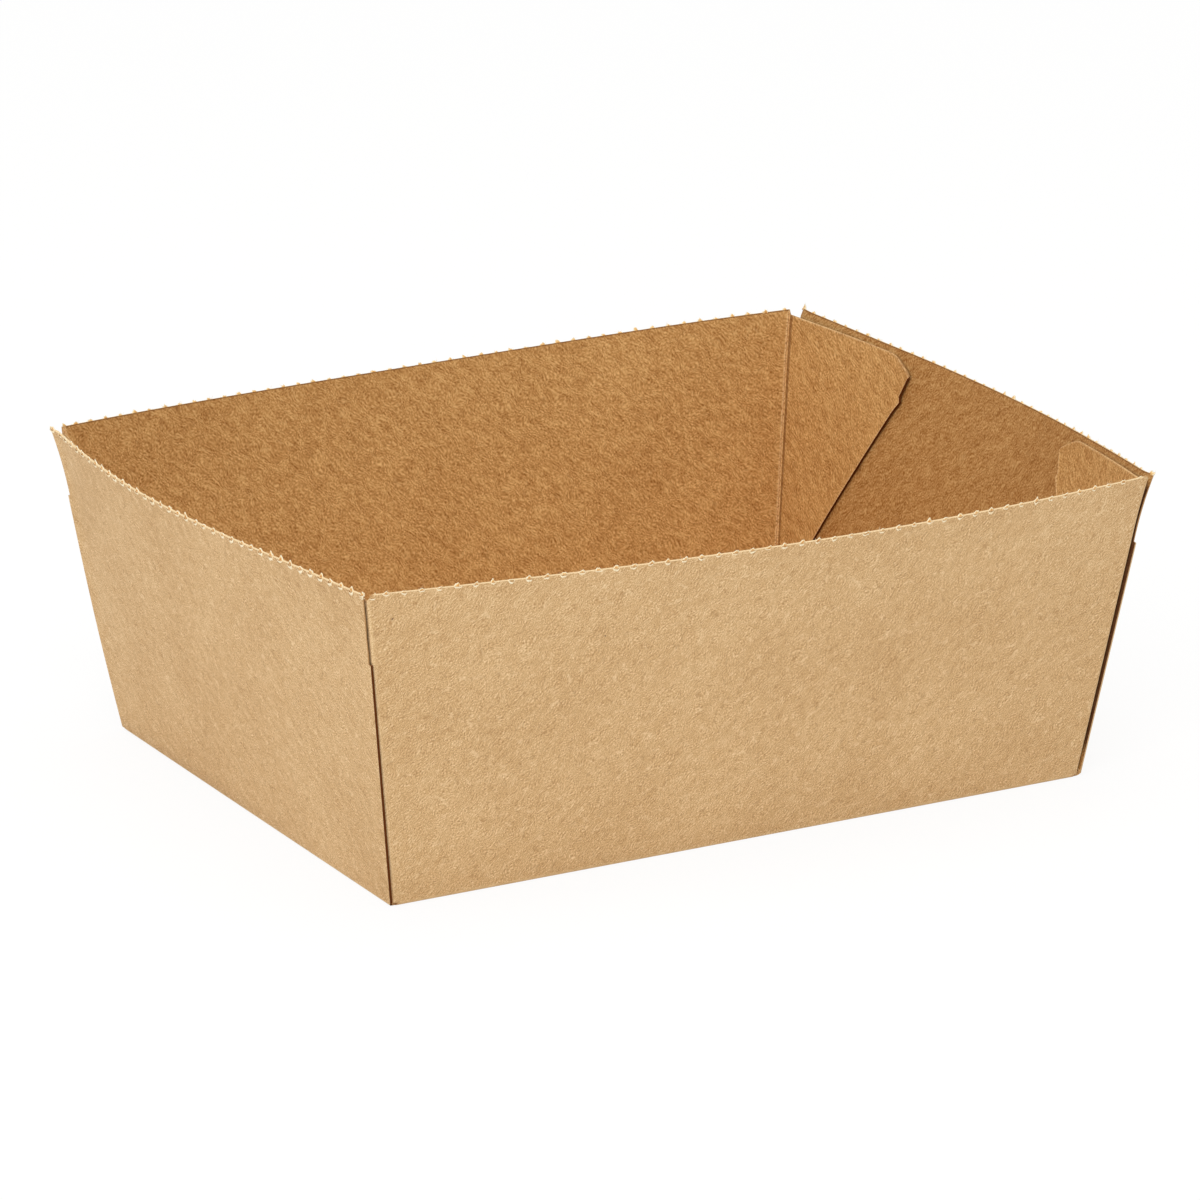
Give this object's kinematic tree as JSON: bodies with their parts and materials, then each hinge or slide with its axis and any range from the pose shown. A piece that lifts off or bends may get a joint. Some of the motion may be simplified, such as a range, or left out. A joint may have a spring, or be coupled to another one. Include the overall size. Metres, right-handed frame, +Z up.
{
  "type": "paper food box",
  "caption": "Open takeaway food tray folded and glued from one sheet of brown card, with its lid torn off along the perforated rim.",
  "frame": {"origin": "centre of the base's underside, on the surface that the tray stands on", "axes": "+Z up out of the open top, +X along the long walls, -Y towards the front long wall of the picture and -X towards its left end wall"},
  "size_m": [0.187, 0.1544, 0.0669],
  "materials": {
    "kraft_card": "uncoated matt brown card, a little paler outside than inside, with torn pale fibres along the rim"
  },
  "bodies": {
    "root": {"tray": "kraft_card"}
  },
  "joints": []
}
